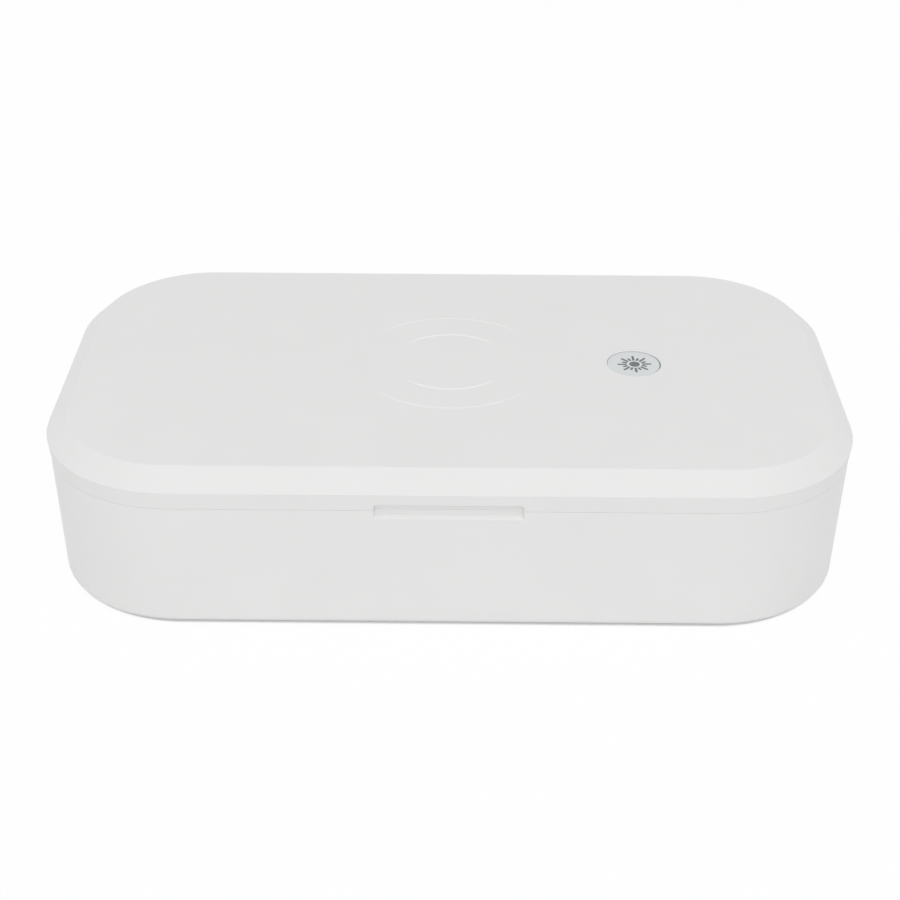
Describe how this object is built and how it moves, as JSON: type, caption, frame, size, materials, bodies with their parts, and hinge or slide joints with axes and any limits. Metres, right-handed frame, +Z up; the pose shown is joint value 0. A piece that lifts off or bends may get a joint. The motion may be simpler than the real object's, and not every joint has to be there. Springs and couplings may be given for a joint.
{
  "type": "uv sanitizer box for phones",
  "caption": "Low rounded box with a hinged, chamfered cover: ultraviolet lamps clean a phone inside, and a pad on the cover charges another.",
  "frame": {"origin": "on the surface the box stands on, under the middle of its whole outline", "axes": "+X to the right along the length, -Y towards the front with the finger pull, +Z up"},
  "size_m": [0.22, 0.1318, 0.0475],
  "materials": {
    "white_shell": "satin moulded white",
    "tray_plastic": "smooth moulded light grey",
    "clear_acrylic": "clear",
    "reflector": "bright rolled sheet",
    "lamp_glass": "clear quartz",
    "silicone": "matt white",
    "circuit_board": "solder mask",
    "steel": "plated",
    "black_plastic": "matt",
    "plated_magnet": "nickel plated",
    "foot_rubber": "matt",
    "copper_wire": "enamelled copper",
    "ferrite": "sintered",
    "button_grey": "satin cool grey"
  },
  "bodies": {
    "base": {"base_shell": "white_shell", "chamber_tray": "tray_plastic", "phone_rails": "clear_acrylic", "base_reflector_front": "reflector", "base_reflector_rear": "reflector", "base_lamp_front": "lamp_glass", "base_lamp_rear": "lamp_glass", "base_lamp_holders": "silicone", "main_board": "circuit_board", "power_socket": "steel", "lamp_inverter": "black_plastic", "power_capacitors": "black_plastic", "base_magnets": "plated_magnet", "lid_sensor": "black_plastic", "tray_screws": "steel", "feet": "foot_rubber", "hinge_pins": "steel"},
    "lid": {"lid_shell": "white_shell", "lid_panel": "tray_plastic", "lid_reflector_front": "reflector", "lid_reflector_rear": "reflector", "lid_lamp_front": "lamp_glass", "lid_lamp_rear": "lamp_glass", "lid_lamp_holders": "silicone", "charging_coil": "copper_wire", "ferrite_sheet": "ferrite", "lid_board": "circuit_board", "tact_switch": "black_plastic", "lid_magnets": "plated_magnet", "lid_screws": "steel"},
    "button": {"button_cap": "button_grey", "switch_stem": "black_plastic"}
  },
  "joints": [
    {"name": "lid_hinge", "type": "hinge", "parent": "base", "child": "lid", "pos_m": [0, 0.0623, 0.0372], "axis": [-1, 0, 0], "range_deg": [0, 100]},
    {"name": "button_press", "type": "slide", "parent": "lid", "child": "button", "axis": [0, 0, -1], "range_m": [0, 0.0006], "stiffness_N_per_m": 1500, "springref_m": -0.0005}
  ]
}
